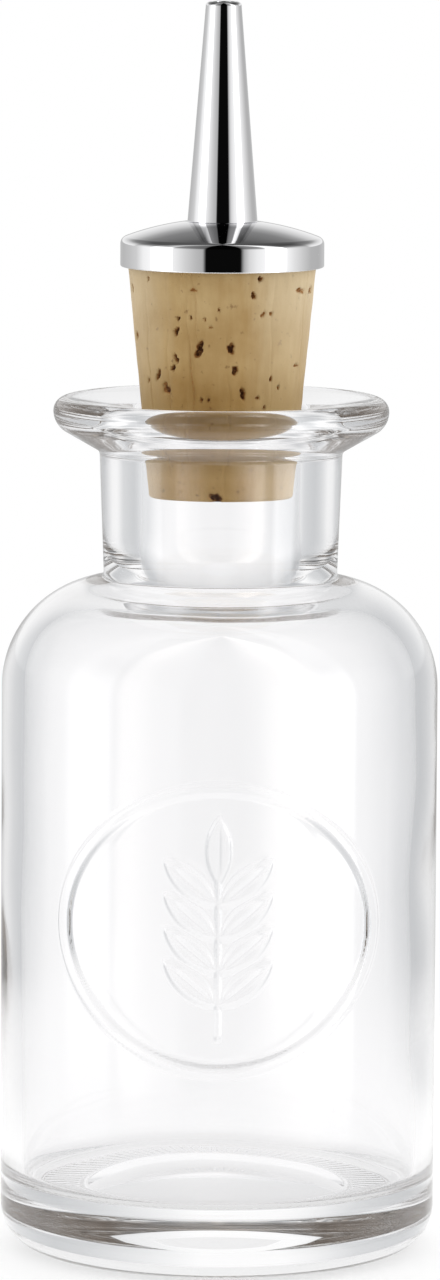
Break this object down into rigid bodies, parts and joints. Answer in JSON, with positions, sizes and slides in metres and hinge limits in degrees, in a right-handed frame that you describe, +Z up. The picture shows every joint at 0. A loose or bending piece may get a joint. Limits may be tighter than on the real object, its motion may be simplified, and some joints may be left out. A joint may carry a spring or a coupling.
{
  "type": "bitters bottle",
  "caption": "Clear glass bottle for bitters: straight body with a round raised medallion, flared lip, and a tapered cork stopper with a chromed cap and a conical pouring spout.",
  "frame": {"origin": "middle of the base, on the surface that the bottle stands on", "axes": "+Z up the bottle's axis; the front, with the medallion, faces -Y"},
  "size_m": [0.05, 0.0504, 0.1435],
  "materials": {
    "clear_glass": "clear, polished",
    "natural_cork": "ground natural cork, matt",
    "cap_chrome": "bright chrome",
    "spout_chrome": "bright chrome",
    "stem_metal": "plated, as turned",
    "restrictor_plastic": "natural moulded plastic"
  },
  "bodies": {
    "bottle": {"glass_bottle": "clear_glass"},
    "cork": {"cork": "natural_cork"},
    "dasher": {"cap": "cap_chrome", "spout": "spout_chrome", "stem_tube": "stem_metal", "flow_restrictor": "restrictor_plastic"}
  },
  "joints": [
    {"name": "cork_lift", "type": "slide", "parent": "bottle", "child": "cork", "axis": [0, 0, 1], "range_m": [0, 0.025]},
    {"name": "dasher_pull", "type": "slide", "parent": "cork", "child": "dasher", "axis": [0, 0, 1], "range_m": [0, 0.035]}
  ]
}
